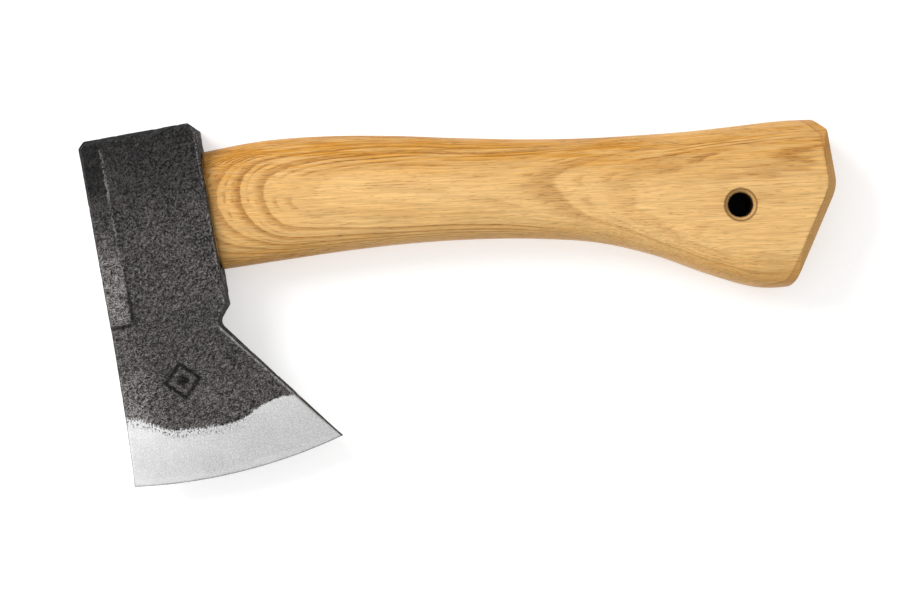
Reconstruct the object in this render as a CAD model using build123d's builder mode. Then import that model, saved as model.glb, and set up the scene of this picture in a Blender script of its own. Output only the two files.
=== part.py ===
from build123d import *
import math
import os

# A camping hatchet lying on its side: a forged head on a wooden handle, held by a wooden
# wedge and a round steel wedge. +X runs along the eye of the head, from the head towards the
# butt of the handle. +Y runs towards the poll, so the cutting edge faces -Y. +Z is square to
# the cheeks. The origin is under the middle of the hatchet, on the surface that it lies on.
#
# Outlines are drawn in head coordinates: x = 0 is the face of the head on the handle's side,
# y = 0 is the axis of the eye, and z = 0 is half-way through the hatchet.

# Driving dimensions, in millimetres.
THICKNESS = 26.0            # over the cheeks of the head, and over the flats of the knob
HEAD_DEPTH = 40.0           # the head, along its eye
POLL_Y = 30.0               # eye axis to the poll's face
EDGE_DROP = 89.2            # eye axis to the lowest point of the cutting edge
TOE = (-42.5, -87.6)        # the edge's corner away from the handle
HEEL = (30.2, -82.8)        # the edge's corner below the handle
BUTT_X = 208.6              # the handle's butt

# The head thins towards its edge. Each pair is a distance from the edge and the half
# thickness there.
EDGE_HALF = 0.15
BEVEL_START = (16.5, 4.2)
NECK_START = (43.0, 8.4)
CHEEK_START = (64.0, THICKNESS / 2)
BEVEL_BULGE = 0.2           # how far the ground bevel stands proud of a straight one

# Details of the head.
BLADE_TOP = (-41.2, -66.0)  # where the far side starts to lean out to the toe
LUG_END = (-0.2, -32.2)     # the lug under the eye, on the handle's side
NOTCH = (-4.6, -37.6)       # the inner corner between the lug and the beard
NOTCH_RADIUS = 3.0
LUG_RADIUS = 1.0
SPINE_RADIUS = 40.0         # the gentle bends of the far side
POLL_CORNER = 2.2           # the poll's two corners, cut at 45 degrees
POLL_CHAMFER = 1.5          # along the poll's two long edges
REBATE_WIDTH = 7.4          # the lowered strip along the far side of each cheek
REBATE_DEPTH = 1.1
REBATE_END_Y = -33.4

# The eye, a slot with round ends that opens out away from the handle, and what fills it.
EYE_BOTTOM = (37.0, 16.5)   # length and width at x = 0
EYE_TOP = (39.5, 18.5)      # length and width at the far side
WEDGE_TOP = 5.0             # the wooden wedge's thickness at the far side
WEDGE_TIP = 0.8
WEDGE_LENGTH = 30.0
RING_RADIUS = 6.5           # the round steel wedge, driven in across the wooden one
RING_WALL = 1.8
RING_DEPTH = 12.0

# The handle's sections: x, upper outline, lower outline, half thickness, squareness.
# Squareness is the exponent of the oval: 2 is an ellipse, and more is nearer to a rectangle.
# At the knob the ovals are thicker than the hatchet, so its two sides are cut flat.
HANDLE_SECTIONS = [
    (0.0, 20.0, -20.3, 9.0, 2.5),
    (20.0, 20.2, -20.8, 10.0, 2.4),
    (42.0, 18.0, -21.5, 10.7, 2.3),
    (64.0, 14.2, -22.9, 10.9, 2.3),
    (86.0, 9.5, -25.4, 11.0, 2.3),
    (108.0, 5.1, -29.2, 11.3, 2.4),
    (128.0, 1.8, -34.3, 11.9, 2.6),
    (146.0, -0.4, -42.1, 12.6, 2.9),
    (162.0, -2.1, -51.2, 13.2, 3.1),
    (178.0, -3.2, -58.5, 13.5, 3.2),
    (194.0, -4.2, -60.0, 13.5, 3.2),
    (214.0, -7.0, -58.5, 13.5, 3.2),
]
SECTION_POINTS = 32
BUTT_CORNER = (BUTT_X, -10.1)        # the lower end of the corner cut off above the butt
BUTT_CORNER_CUT = (-14.0, 15.6)      # the way of that cut, to well past the wood
BUTT_BEND = (BUTT_X, -29.5)          # where the butt starts to slant
BUTT_BEND_RADIUS = 12.0
BUTT_TOE = (188.3, -60.5)            # the butt's lower corner
BUTT_TOE_RADIUS = 8.0
BUTT_CHAMFER = 2.6

# The hanging hole, with a countersink on each side.
HOLE = (175.4, -29.9)
HOLE_RADIUS = 4.0
SINK_RADIUS = 5.4
SINK_ANGLE = 90.0

# Where head coordinates sit in the part's own frame.
DATUM = Vector(-(TOE[0] + BUTT_X) / 2, (EDGE_DROP - POLL_Y) / 2, THICKNESS / 2)


def side_plane(z=0.0):
    """The plane of the hatchet's side outline, z from half-way through."""
    return Plane(origin=DATUM + Vector(0, 0, z), x_dir=(1, 0, 0), z_dir=(0, 0, 1))


def cross_plane(x):
    """The plane across the eye at x. Its first axis is the head's y, and its second is z."""
    return Plane(origin=DATUM + Vector(x, 0, 0), x_dir=(0, 1, 0), z_dir=(1, 0, 0))


def along_plane():
    """The plane along the eye, square to the poll. Its first axis is x, and its second is z."""
    return Plane(origin=DATUM, x_dir=(1, 0, 0), z_dir=(0, -1, 0))


def oval(top, bottom, half_thickness, squareness):
    """Points around a superellipse between the upper and the lower outline."""
    middle = (top + bottom) / 2
    half_height = (top - bottom) / 2
    points = []
    for i in range(SECTION_POINTS):
        turn = 2 * math.pi * i / SECTION_POINTS
        c, s = math.cos(turn), math.sin(turn)
        across = math.copysign(abs(c) ** (2 / squareness), c)
        up = math.copysign(abs(s) ** (2 / squareness), s)
        points.append((middle + half_height * across, half_thickness * up))
    return points


# The space of the eye. It shapes the hole in the head and the wood that fills it.
with BuildPart() as eye_space:
    for eye_x, (length, width) in ((-HEAD_DEPTH, EYE_TOP), (0, EYE_BOTTOM)):
        with BuildSketch(cross_plane(eye_x)):
            SlotOverall(length, width)
    loft()

# The space of the wooden wedge, a long taper in the middle of the eye.
with BuildPart() as wedge_space:
    with BuildSketch(along_plane()):
        Polygon(
            (-HEAD_DEPTH, WEDGE_TOP / 2),
            (-HEAD_DEPTH, -WEDGE_TOP / 2),
            (WEDGE_LENGTH - HEAD_DEPTH, -WEDGE_TIP / 2),
            (WEDGE_LENGTH - HEAD_DEPTH, WEDGE_TIP / 2),
            align=None,
        )
    extrude(amount=POLL_Y, both=True)
    add(eye_space.part, mode=Mode.INTERSECT)

# The cutting edge is one arc, and the head's thickness follows the distance from it.
edge_arc = ThreePointArc(TOE, (TOE[0] / 2, -EDGE_DROP), HEEL)
edge_centre = DATUM + edge_arc.arc_center
edge_radius = edge_arc.radius
edge_end = (edge_radius, EDGE_HALF)
bevel_end, neck_end, cheek_end = [
    (edge_radius - distance, half) for distance, half in (BEVEL_START, NECK_START, CHEEK_START)
]
flank = Vector(*neck_end) - Vector(*bevel_end)
bevel_middle = (Vector(*edge_end) + Vector(*bevel_end)) / 2 + Vector(0, BEVEL_BULGE)

# The head: a lens turned about the centre of that arc, mirrored, and cut to the side outline.
with BuildPart() as axe_head:
    with BuildSketch(Plane(origin=edge_centre, x_dir=(0, -1, 0), z_dir=(1, 0, 0))):
        with BuildLine():
            ThreePointArc(edge_end, bevel_middle, bevel_end)
            Line(bevel_end, neck_end)
            Spline(neck_end, cheek_end, tangents=(flank, (-1, 0)))
            Polyline(cheek_end, (0, THICKNESS / 2), (0, 0), (edge_radius, 0), edge_end)
        make_face()
    revolve(axis=Axis(edge_centre, (0, 0, 1)))
    mirror(about=side_plane())
    with BuildSketch(side_plane()):
        with BuildLine():
            FilletPolyline(
                TOE,
                BLADE_TOP,
                (-HEAD_DEPTH, REBATE_END_Y),
                (-HEAD_DEPTH, POLL_Y - POLL_CORNER),
                (-HEAD_DEPTH + POLL_CORNER, POLL_Y),
                (-POLL_CORNER, POLL_Y),
                (0, POLL_Y - POLL_CORNER),
                LUG_END,
                NOTCH,
                HEEL,
                radius=(SPINE_RADIUS, SPINE_RADIUS, 0, 0, 0, 0, LUG_RADIUS, NOTCH_RADIUS),
            )
            add(edge_arc)
        make_face()
    extrude(amount=THICKNESS, both=True, mode=Mode.INTERSECT)
    with BuildSketch(cross_plane(0)):
        with Locations((POLL_Y, 0)):
            block = Rectangle(2 * EDGE_DROP, THICKNESS, align=(Align.MAX, Align.CENTER))
        chamfer(block.vertices().group_by(Axis.Y)[-1], POLL_CHAMFER)
    extrude(amount=BUTT_X, both=True, mode=Mode.INTERSECT)
    for side in (1, -1):
        with BuildSketch(side_plane(side * (THICKNESS / 2 - REBATE_DEPTH))):
            with Locations((TOE[0], REBATE_END_Y)):
                Rectangle(
                    REBATE_WIDTH - HEAD_DEPTH - TOE[0],
                    2 * POLL_Y - REBATE_END_Y,
                    align=(Align.MIN, Align.MIN),
                )
        extrude(amount=side * THICKNESS, mode=Mode.SUBTRACT)
    add(eye_space.part, mode=Mode.SUBTRACT)
axe_head.part.label = "axe_head"

# The round steel wedge, flush with the far side of the head.
with BuildPart() as ring_wedge:
    with BuildSketch(cross_plane(-HEAD_DEPTH)):
        Circle(RING_RADIUS)
        Circle(RING_RADIUS - RING_WALL, mode=Mode.SUBTRACT)
    extrude(amount=RING_DEPTH)
ring_wedge.part.label = "ring_wedge"

# The wooden wedge fills the kerf, and the ring cuts through it.
with BuildPart() as eye_wedge:
    add(wedge_space.part)
    add(ring_wedge.part, mode=Mode.SUBTRACT)
eye_wedge.part.label = "eye_wedge"

# The space inside the butt's outline, bevelled towards both flats of the knob. Away from the
# butt it is larger than the handle.
with BuildPart() as butt_space:
    with BuildSketch(side_plane()):
        with BuildLine():
            FilletPolyline(
                (-HEAD_DEPTH, POLL_Y),
                Vector(*BUTT_CORNER) + Vector(*BUTT_CORNER_CUT),
                BUTT_CORNER,
                BUTT_BEND,
                BUTT_TOE,
                (-HEAD_DEPTH, BUTT_TOE[1]),
                radius=(0, 0, 0, BUTT_BEND_RADIUS, BUTT_TOE_RADIUS, 0),
                close=True,
            )
        make_face()
    extrude(amount=THICKNESS / 2, both=True)
    chamfer(butt_space.edges().filter_by(Axis.Z, reverse=True), BUTT_CHAMFER)

# The handle: an oval grip that widens to a knob, cut to the butt's outline, and the tenon
# that fills the eye.
with BuildPart() as handle:
    for station_x, *section in HANDLE_SECTIONS:
        with BuildSketch(cross_plane(station_x)):
            with BuildLine():
                Spline(*oval(*section), periodic=True)
            make_face()
    loft()
    add(butt_space.part, mode=Mode.INTERSECT)
    for side in (1, -1):
        mouth = DATUM + Vector(*HOLE, side * THICKNESS / 2)
        with Locations(Plane(origin=mouth, z_dir=(0, 0, side))):
            CounterSinkHole(HOLE_RADIUS, SINK_RADIUS, counter_sink_angle=SINK_ANGLE)
    add(eye_space.part)
    add(wedge_space.part, mode=Mode.SUBTRACT)
    add(ring_wedge.part, mode=Mode.SUBTRACT)
handle.part.label = "handle"

os.makedirs("parts", exist_ok=True)
for piece in (axe_head, handle, eye_wedge, ring_wedge):
    export_step(piece.part, f"parts/{piece.part.label}.step")
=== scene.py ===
import math

import bmesh
import bpy
import numpy as np
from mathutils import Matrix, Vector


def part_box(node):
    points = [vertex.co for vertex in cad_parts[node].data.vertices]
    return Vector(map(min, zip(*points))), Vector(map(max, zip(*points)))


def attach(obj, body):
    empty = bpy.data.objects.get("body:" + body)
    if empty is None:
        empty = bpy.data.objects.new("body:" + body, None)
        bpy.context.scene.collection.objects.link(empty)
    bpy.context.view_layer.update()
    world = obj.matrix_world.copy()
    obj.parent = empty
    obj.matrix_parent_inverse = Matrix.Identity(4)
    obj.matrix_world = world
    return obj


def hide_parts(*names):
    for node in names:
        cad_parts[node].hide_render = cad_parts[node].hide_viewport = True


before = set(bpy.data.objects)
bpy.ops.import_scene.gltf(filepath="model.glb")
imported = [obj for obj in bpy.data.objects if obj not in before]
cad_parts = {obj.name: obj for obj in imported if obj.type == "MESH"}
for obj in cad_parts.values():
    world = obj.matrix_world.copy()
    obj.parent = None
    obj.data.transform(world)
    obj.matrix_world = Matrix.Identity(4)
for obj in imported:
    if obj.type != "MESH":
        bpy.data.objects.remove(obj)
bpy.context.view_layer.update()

# Sizes, in millimetres, in head coordinates: x runs along the eye from the head's
# handle-side face towards the butt, y from the eye's axis towards the poll, and z from
# half-way through the hatchet.
MM = 0.001
HALF_THICKNESS = 13.0

# The head's side view. A pair is x and y.
HEAD_DEPTH = 40.0
POLL_Y = 30.0
EDGE_DROP = 89.2
TOE = (-42.5, -87.6)
HEEL = (30.2, -82.8)
POLL_CORNER = 2.2
POLL_CORNER_RADIUS = 0.6
BLADE_TOP = (-41.2, -66.0)
LUG_END = (-0.2, -32.2)
NOTCH = (-4.6, -37.6)
NOTCH_RADIUS = 3.0
LUG_RADIUS = 1.0
SPINE_RADIUS = 40.0
HEAD_MIDDLE = (-18, -28, 0)

# The blade's lens. A pair is a distance from the edge, and the half thickness there.
EDGE_HALF = 0.16
BEVEL_START = (16.5, 4.2)
NECK_START = (43.0, 8.4)
CHEEK_START = (64.0, HALF_THICKNESS)
BEVEL_BULGE = 0.2
EDGE_INSET = 0.02  # how far the cutting edge stays inside its arc

# The eye's length and width at each end, and the two wedges in it.
EYE_BOTTOM = (37.0, 16.5)
EYE_TOP = (39.5, 18.5)
WEDGE_TOP = 5.0
WEDGE_TIP = 0.8
WEDGE_LENGTH = 30.0
RING_RADIUS = 6.5
RING_WALL = 1.8
RING_DEPTH = 12.0
WEDGE_MARGIN = 0.35  # from the ends of the eye to the ends of the wooden wedge
POCKET_GAP = 0.03  # how much wider the cuts for the wedges are

# The forging's marks on the head.
CHEEK_CHAMFER = 1.0
POLL_CHAMFER = 1.5
STRIP_EDGE_X = -32.6  # the ridge between the cheek and the lowered strip
STRIP_RIDGE = 1.3  # the width of its slope
STRIP_Z = 11.7
STRIP_RISE = 0.7  # how much higher the strip gets at the poll
PAD_Z = 11.95
PAD_TOP_Y = 12.0
PAD_END_Y = -33.4
SKIN_DENT = 0.26  # the depth of the dents in the black scale
POLL_DENT = 0.12
GRIND_DEPTH = 0.17  # how far the ground bevel lies under the skin
STAMP = (-19.5, -55.0)
STAMP_SIZE = 5.8  # from the middle of the plain diamond to its corners
STAMP_MIDDLE = 0.36  # the smaller solid diamond's share of that
STAMP_DEPTH = 0.6
STAMP_LINE = 0.75

# The head's grid: its lines beside an outline, and the others.
RIM_PLACES = (0, 0.22, 0.45, 0.7, 0.95, 1.25, 1.6)
ROW_STEP = 0.46
ACROSS_POINTS = 104
WALL_POINTS = 36

# How light the black scale is, partly its own tone and partly painted light and shade, darker towards the
# poll: y, and the share of light it throws back.
CHEEK_TONE_AND_LIGHT = [(-78, 0.18), (-60, 0.16), (-40, 0.13), (-24, 0.15), (0, 0.12), (10, 0.07), (30, 0.04)]
STRIP_TONE_AND_LIGHT = [
    (-78, 0.36), (-58, 0.36), (-47, 0.20), (-35, 0.20), (-32, 0.34),
    (-20, 0.35), (-3, 0.15), (6, 0.10), (13, 0.03), (30, 0.02),
]
# How light the ground bevel is, partly its own tone and partly painted light: x, and the share of light it
# throws back.
BEVEL_TONE_AND_LIGHT = [(-45, 0.93), (-18, 0.77), (30, 0.68)]
# Painted shade on the side walls, darkest along the beard.
WALL_SHADE = 0.06
BEARD_WALL_SHADE = 0.006

# The ground bevel's ragged border, from the far side to the handle's side.
GROUND_BORDER = [
    (-46, -64), (-37, -65), (-28, -70), (-16, -71.5), (-3, -71.5), (6, -67.5), (14, -66), (30, -66),
]

# The handle's sections: x, upper outline, lower outline, half thickness, squareness.
HANDLE_SECTIONS = [
    (0.0, 20.0, -20.3, 9.0, 2.5),
    (20.0, 20.2, -20.8, 10.0, 2.4),
    (42.0, 18.0, -21.5, 10.7, 2.3),
    (64.0, 14.2, -22.9, 10.9, 2.3),
    (86.0, 9.5, -25.4, 11.0, 2.3),
    (108.0, 5.1, -29.2, 11.3, 2.4),
    (128.0, 1.8, -34.3, 11.9, 2.6),
    (146.0, -0.4, -42.1, 12.6, 2.9),
    (162.0, -2.1, -51.2, 13.2, 3.1),
    (178.0, -3.2, -58.5, 13.5, 3.2),
    (194.0, -4.2, -60.0, 13.5, 3.2),
    (214.0, -7.0, -58.5, 13.5, 3.2),
]
# The wood's growth rings: x, and how many rings the face has crossed at its middle.
RING_TIPS = [
    (-40, -4.2), (-8, -1.1), (3, 0.0), (11, 1.0), (18.5, 1.95), (25, 2.5),
    (33, 2.88), (45, 3.12), (60, 3.24), (80, 3.32), (100, 3.46), (117, 4.0),
    (129, 4.5), (141, 5.0), (150, 5.16), (165, 5.28), (190, 5.36), (210, 5.42),
]
QUIET_RING = 2  # the ring with no dark band, at the plain middle of the face
GRAIN_ANGLE = -8.0  # degrees from the eye's axis down to the way the fibres run
RING_GROWTH = (0.35, 0.09)  # rings crossed on the way down: per millimetre, and per millimetre squared
RING_EVEN = 5.0  # the depth from which they are evenly spaced
LONG_LUMP = (36.0, 7.0, 7.0)  # the size of the rings' wanderings along and across the grain
SHORT_LUMP = (14.0, 2.5, 2.5)
SECTION_POINTS = 168
BUTT_START_X = 140.0  # where the rings begin to lean over to the butt's wall
BUTT_X = 208.6
BUTT_CORNER = (BUTT_X, -10.1)
BUTT_CORNER_TOP = (194.6, 5.5)
BUTT_CORNER_RADIUS = 0.8
BUTT_BEND = (BUTT_X, -29.5)
BUTT_BEND_RADIUS = 12.0
BUTT_TOE = (188.3, -60.5)
BUTT_TOE_RADIUS = 8.0
BUTT_BEVEL = 2.6
KNOB_X = 100  # the flat sides begin beyond it
HOLE = (175.4, -29.9)
HOLE_RADIUS = 4.0
SINK_RADIUS = 5.4

# Colours, as red, green, blue and opacity.
# The colour of worn steel and of the painted highlights on the edges.
WORN_AND_HIGHLIT_STEEL = (0.50, 0.50, 0.50, 1)
SCALE_TINT = (1.07, 0.99, 0.96)
BARE_TINT = (1.0, 1.0, 1.005)
PALE_WOOD = (0.80, 0.515, 0.215, 1)
DEEP_PALE_WOOD = (0.70, 0.405, 0.135, 1)
DARK_WOOD = (0.40, 0.160, 0.016, 1)
DEEP_DARK_WOOD = (0.29, 0.100, 0.008, 1)
DARK_EDGE_WOOD = (0.52, 0.235, 0.028, 1)
PORES = (0.25, 0.095, 0.016, 1)
BUTT_RIM = (0.46, 0.21, 0.045, 1)
BUTT_RIM_LINE = (0.25, 0.10, 0.02, 1)
SINK_LINE = (0.20, 0.085, 0.025, 1)
SINK_WOOD = (0.30, 0.14, 0.04, 1)
# Painted shade inside the hanging hole.
HOLE_SHADE_BLACK = (0.018, 0.010, 0.006, 1)
WEDGE_SHADE = 0.66  # the wedge's wood, beside the handle's
RING_DARK = (0.24, 0.24, 0.25, 1)
RING_LIGHT = (0.50, 0.50, 0.51, 1)
RUST = (0.16, 0.085, 0.045, 1)
WHITE = (1, 1, 1, 1)

# The camera, from the photograph's viewing angle.
CAMERA_HEIGHT = 1050.0  # above the hatchet's middle plane
CAMERA_OVER = (73.9, -44.1)  # the point that it looks straight down at
CAMERA_TURN = 10.2  # degrees that the eye's axis rises in the picture
VIEW_WIDTH = 305.1  # millimetres across the picture, at the middle plane

# The studio. Its lengths are in metres.
SKY_OVERHEAD = 0.84
SKY_HORIZON = 0.22
SKY_LEAN = (-0.16, 0.14, 0.97)
FLOOR_REACH = 3.0
FLOOR_TONE = 0.7
FLOOR_GLOW = 0.46
# Painted shadow on the floor under the hanging hole:
HOLE_SHADOW_TONE = 0.02  # of the dark patch that the floor has under the hole
HOLE_SHADOW_RADIUS = 0.010
HOLE_SHADOW_FADE = 0.022
LAMP_PLACE = (-0.75, 0.75, 0.85)
LAMP_SIZE = 0.8
LAMP_POWER = 12.5

# Where the head coordinates begin in the shared frame.
wedge_low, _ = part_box("eye_wedge")
ring_low, ring_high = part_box("ring_wedge")
head_low, head_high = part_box("axe_head")
DATUM = np.array([
    wedge_low.x / MM + HEAD_DEPTH,
    (ring_low.y + ring_high.y) / 2 / MM,
    (head_low.z + head_high.z) / 2 / MM,
])


# --- Small tools ---
def smooth(low, high, value):
    """0 below low, 1 above high, and a smooth rise between."""
    t = np.clip((value - low) / (high - low), 0, 1)
    return t * t * (3 - 2 * t)


def columns_of(rows):
    """A list of rows as one array for each column."""
    return [np.array(column) for column in zip(*rows)]


def cubic(t, span, start, start_slope, end, end_slope):
    """A cubic across a span, from its values and slopes at the start and the end, at t from 0 to 1."""
    return (
        (2 * t**3 - 3 * t**2 + 1) * start
        + (t**3 - 2 * t**2 + t) * span * start_slope
        + (3 * t**2 - 2 * t**3) * end
        + (t**3 - t**2) * span * end_slope
    )


def curve(stations, values, x):
    """A smooth curve through values at stations, read at x."""
    stations, values = np.asarray(stations, float), np.asarray(values, float)
    slopes = np.gradient(values, stations)
    i = np.clip(np.searchsorted(stations, x) - 1, 0, len(stations) - 2)
    span = stations[i + 1] - stations[i]
    t = np.clip((x - stations[i]) / span, 0, 1)
    return cubic(t, span, values[i], slopes[i], values[i + 1], slopes[i + 1])


def noise(points, size, seed):
    """Smooth random values from -1 to 1, in lumps of the size."""
    p = np.asarray(points, float) / size
    cell = np.floor(p).astype(np.int64)
    t = p - cell
    t = t * t * (3 - 2 * t)
    total = np.zeros(p.shape[:-1])
    for corner in np.ndindex(2, 2, 2):
        c = cell + np.array(corner)
        h = (c[..., 0] * 73856093) ^ (c[..., 1] * 19349663) ^ (c[..., 2] * 83492791) ^ (seed * 2654435761)
        h = (h ^ (h >> 13)) * 1274126177 & 0xFFFFFFFF
        h = (h ^ (h >> 16)) * 668265263 & 0xFFFFFFFF
        value = (h & 0xFFFF) / 32767.5 - 1
        weight = np.prod(np.where(np.array(corner) == 1, t, 1 - t), axis=-1)
        total += weight * value
    return total


def rounded(points, radii, steps=8):
    """A line through points, its inner corners rounded to the radii."""
    points = [np.array(p, float) for p in points]
    path = [points[0]]
    for before, corner, after, radius in zip(points, points[1:], points[2:], radii):
        back = (before - corner) / np.linalg.norm(before - corner)
        ahead = (after - corner) / np.linalg.norm(after - corner)
        turn = math.pi - math.acos(np.clip(back @ ahead, -1, 1))
        reach = radius * math.tan(turn / 2)
        start, end = corner + back * reach, corner + ahead * reach
        for t in np.linspace(0, 1, steps + 1 if radius else 1):
            path.append((1 - t) ** 2 * start + 2 * t * (1 - t) * corner + t**2 * end)
    path.append(points[-1])
    return np.array(path)


def distance_to_path(x, y, path):
    """How far each point is from a line through the path's points."""
    best = np.full(np.shape(x), np.inf)
    for (ax, ay), (bx, by) in zip(path, path[1:]):
        dx, dy = bx - ax, by - ay
        t = np.clip(((x - ax) * dx + (y - ay) * dy) / (dx * dx + dy * dy), 0, 1)
        best = np.minimum(best, np.hypot(x - ax - t * dx, y - ay - t * dy))
    return best


def stations(length, spacing, close):
    """Places along a length, spacing apart, and those in close at both ends."""
    close = np.array(close)
    count = max(2, round((length - 2 * close[-1]) / spacing))
    inner = np.linspace(close[-1], length - close[-1], count + 1)[1:-1]
    return np.concatenate([close, inner, (length - close)[::-1]])


def grid_normals(points):
    """Unit normals of rings of points, one ring after another."""
    around = np.roll(points, -1, axis=1) - np.roll(points, 1, axis=1)
    along = np.gradient(points, axis=0)
    normal = np.cross(along, around)
    return normal / np.maximum(np.linalg.norm(normal, axis=-1, keepdims=True), 1e-9)


def ring_faces(rows, count):
    """Quads between rings that follow each other."""
    i, k = np.meshgrid(np.arange(rows - 1), np.arange(count), indexing="ij")
    n = (k + 1) % count
    quads = np.stack([i * count + k, i * count + n, (i + 1) * count + n, (i + 1) * count + k], -1)
    return quads.reshape(-1, 4)


def add_object(name, data):
    """A new object in the scene."""
    made = bpy.data.objects.new(name, data)
    bpy.context.scene.collection.objects.link(made)
    return made


def new_piece(name, points, faces):
    """A closed mesh from points in head coordinates, with its normals facing out."""
    mesh = bpy.data.meshes.new(name)
    mesh.from_pydata(((points + DATUM) * MM).tolist(), [], [list(map(int, f)) for f in faces])
    mesh.validate()
    edit = bmesh.new()
    edit.from_mesh(mesh)
    bmesh.ops.remove_doubles(edit, verts=edit.verts, dist=1e-7)
    bmesh.ops.recalc_face_normals(edit, faces=edit.faces)
    edit.to_mesh(mesh)
    edit.free()
    return add_object(name, mesh)


def cut(piece, tool):
    """Takes the tool's shape out of the piece for good."""
    modifier = piece.modifiers.new("cut", "BOOLEAN")
    modifier.operation = "DIFFERENCE"
    modifier.solver = "MANIFOLD"
    modifier.object = tool
    graph = bpy.context.evaluated_depsgraph_get()
    mesh = bpy.data.meshes.new_from_object(piece.evaluated_get(graph))
    piece.modifiers.clear()
    mesh.materials.clear()
    old, piece.data = piece.data, mesh
    bpy.data.meshes.remove(old)
    bpy.data.objects.remove(tool)


def shade_smooth(piece, angle):
    """Smooth shading that keeps edges sharper than the angle."""
    mesh = piece.data
    mesh.shade_smooth()
    mesh.set_sharp_from_angle(angle=math.radians(angle))


def row_points(piece):
    """A piece's vertices in head coordinates."""
    co = np.zeros(len(piece.data.vertices) * 3)
    piece.data.vertices.foreach_get("co", co)
    return co.reshape(-1, 3) / MM - DATUM


def set_attributes(piece, **fields):
    """Stores one number a vertex for each field, for the material to read."""
    for name, values in fields.items():
        attribute = piece.data.attributes.new(name, "FLOAT", "POINT")
        attribute.data.foreach_set("value", np.asarray(values, np.float32))


# --- The head ---
def circle_through(a, b, c):
    """Centre and radius of the circle through three points."""
    (ax, ay), (bx, by), (cx, cy) = a, b, c
    m = np.array([[bx - ax, by - ay], [cx - ax, cy - ay]])
    v = np.array([bx**2 - ax**2 + by**2 - ay**2, cx**2 - ax**2 + cy**2 - ay**2]) / 2
    centre = np.linalg.solve(m, v)
    return centre, math.hypot(ax - centre[0], ay - centre[1])


EDGE_CENTRE, EDGE_RADIUS = circle_through(TOE, (TOE[0] / 2, -EDGE_DROP), HEEL)
LEFT_SIDE = rounded(
    [(-HEAD_DEPTH + POLL_CORNER, POLL_Y), (-HEAD_DEPTH, POLL_Y - POLL_CORNER),
     (-HEAD_DEPTH, PAD_END_Y), BLADE_TOP, TOE],
    [POLL_CORNER_RADIUS, SPINE_RADIUS, SPINE_RADIUS],
)
RIGHT_SIDE = rounded(
    [(-POLL_CORNER, POLL_Y), (0, POLL_Y - POLL_CORNER), LUG_END, NOTCH, HEEL],
    [POLL_CORNER_RADIUS, LUG_RADIUS, NOTCH_RADIUS],
)
POLL_SIDE = [LEFT_SIDE[0], RIGHT_SIDE[0]]


def edge_distance(x, y):
    """How far a point of the head's side view is from the cutting edge."""
    return EDGE_RADIUS - np.hypot(x - EDGE_CENTRE[0], y - EDGE_CENTRE[1])


def lens_height(distance):
    """The head's half thickness, before chamfers and marks, by distance from the edge."""
    bevel_length, bevel_half = BEVEL_START
    t = np.clip(distance / bevel_length, 0, 1)
    bevel = EDGE_HALF + (bevel_half - EDGE_HALF) * t + 4 * BEVEL_BULGE * t * (1 - t)
    slope = (NECK_START[1] - bevel_half) / (NECK_START[0] - bevel_length)
    flank = bevel_half + slope * (distance - bevel_length)
    span = CHEEK_START[0] - NECK_START[0]
    u = np.clip((distance - NECK_START[0]) / span, 0, 1)
    neck = cubic(u, span, NECK_START[1], slope, CHEEK_START[1], 0.0)
    return np.where(distance < bevel_length, bevel, np.where(distance < NECK_START[0], flank, neck))


def ground_depth(x, y, seed):
    """How far inside the ground bevel a point is, negative on the black scale."""
    flat = np.stack([x, y, np.full_like(x, seed * 7.3)], -1)
    wander = 0.35 * noise(flat, 5.0, seed) + 0.3 * noise(flat, 1.8, seed + 1)
    return curve(*columns_of(GROUND_BORDER), x) - y + wander


def stamp_groove(x, y):
    """Depth of the plain diamond stamp with its smaller solid diamond, 0 to 1."""
    reach = np.abs(x - STAMP[0]) + np.abs(y - STAMP[1])
    outline = np.abs(reach - STAMP_SIZE)
    middle = reach - STAMP_SIZE * STAMP_MIDDLE
    return np.maximum(
        smooth(STAMP_LINE * 1.6, STAMP_LINE * 0.5, outline),
        smooth(STAMP_LINE, -0.2, middle),
    )


def cheek_height(x, y, seed):
    """The height of a cheek over the middle plane, with the marks that the forging left."""
    flat = np.stack([x, y, np.full_like(x, seed * 11.7)], -1)
    lens = lens_height(edge_distance(x, y))
    ragged = 0.45 * noise(flat, 2.4, seed + 10) + 0.3 * noise(flat, 1.0, seed + 11)
    end = PAD_END_Y + 0.6 * smooth(-41, -37.5, x) - 1.0 * smooth(-35.0, -33.0, x)
    strip = STRIP_Z + (PAD_Z - STRIP_Z) * smooth(PAD_TOP_Y + 0.5, PAD_TOP_Y - 0.5, y)
    strip = strip + STRIP_RISE * smooth(20.0, 29.0, y)
    inside = smooth(STRIP_EDGE_X + STRIP_RIDGE / 2, STRIP_EDGE_X - STRIP_RIDGE / 2, x + ragged)
    inside = inside * smooth(end - 0.5, end + 0.1, y)
    height = lens + (strip - lens) * inside
    return height - STAMP_DEPTH * stamp_groove(x, y)


def forge_texture(points, seed):
    """How deep the skin is dented: up to 1 by the hammer, and up to 0.5 more by pits."""
    dents = 0.40 * noise(points, 7.0, seed) + 0.45 * noise(points, 2.6, seed + 1)
    grain = 0.55 * noise(points, 1.3, seed + 2) + 0.35 * noise(points, 0.7, seed + 3)
    pits = smooth(0.42, 0.75, noise(points, 1.9, seed + 4))
    return np.clip(0.5 + 0.28 * dents + 0.22 * grain, 0, 1) + 0.5 * pits


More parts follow.
